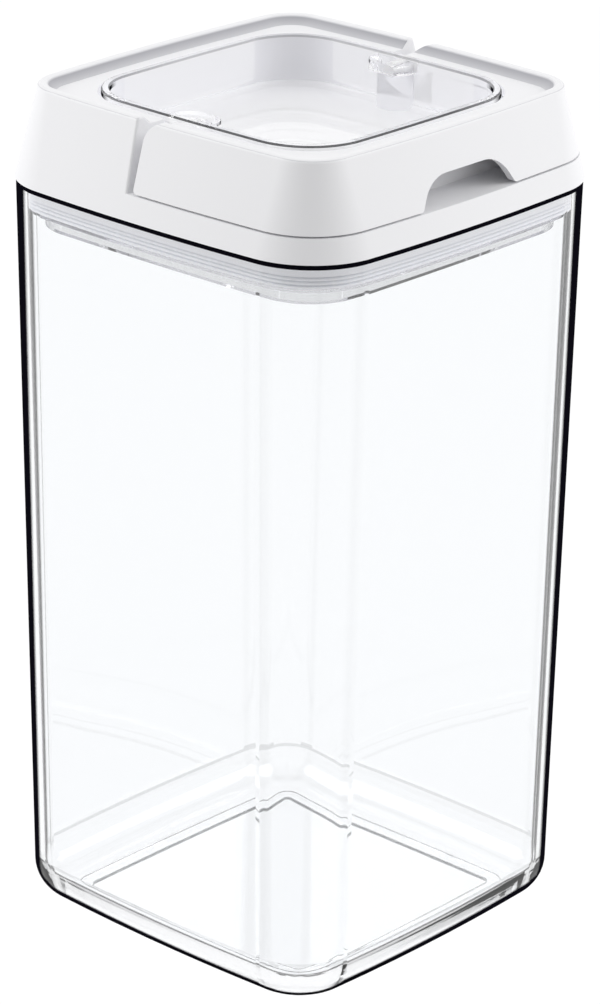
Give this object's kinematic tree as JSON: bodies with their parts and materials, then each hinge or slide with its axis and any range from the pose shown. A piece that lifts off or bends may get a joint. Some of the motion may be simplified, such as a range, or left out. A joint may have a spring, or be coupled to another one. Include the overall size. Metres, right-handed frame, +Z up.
{
  "type": "airtight storage container",
  "caption": "Tall square clear storage jar with a white lid: a handle that flips up from the lid's rim lets a clear plunger down, which frees its silicone seal.",
  "frame": {"origin": "on the surface that the container stands on, under the middle of its foot ring", "axes": "+Z up, -Y out of the side with the finger notch, X along the hinge of the handle"},
  "size_m": [0.106, 0.106, 0.2062],
  "materials": {
    "clear_jar": "clear, polished",
    "white_lid": "satin",
    "clear_window": "clear, polished",
    "silicone": "translucent, matte",
    "pin": "satin"
  },
  "bodies": {
    "container": {"container": "clear_jar"},
    "lid": {"lid_frame": "white_lid"},
    "plunger": {"window_plunger": "clear_window", "seal_ring": "silicone"},
    "handle": {"flip_handle": "white_lid", "hinge_pin_left": "pin", "hinge_pin_right": "pin"}
  },
  "joints": [
    {"name": "lid_lift", "type": "slide", "parent": "container", "child": "lid", "axis": [0, 0, 1], "range_m": [0, 0.05]},
    {"name": "plunger_drop", "type": "slide", "parent": "lid", "child": "plunger", "axis": [0, 0, 1], "range_m": [-0.0022, 0]},
    {"name": "handle_flip", "type": "hinge", "parent": "plunger", "child": "handle", "pos_m": [0, 0.0015, 0.202], "axis": [-1, 0, 0], "range_deg": [0, 90]}
  ],
  "couplings": [
    {"joint": "plunger_drop", "follows": "handle_flip", "m_per_rad": -0.0014005}
  ]
}
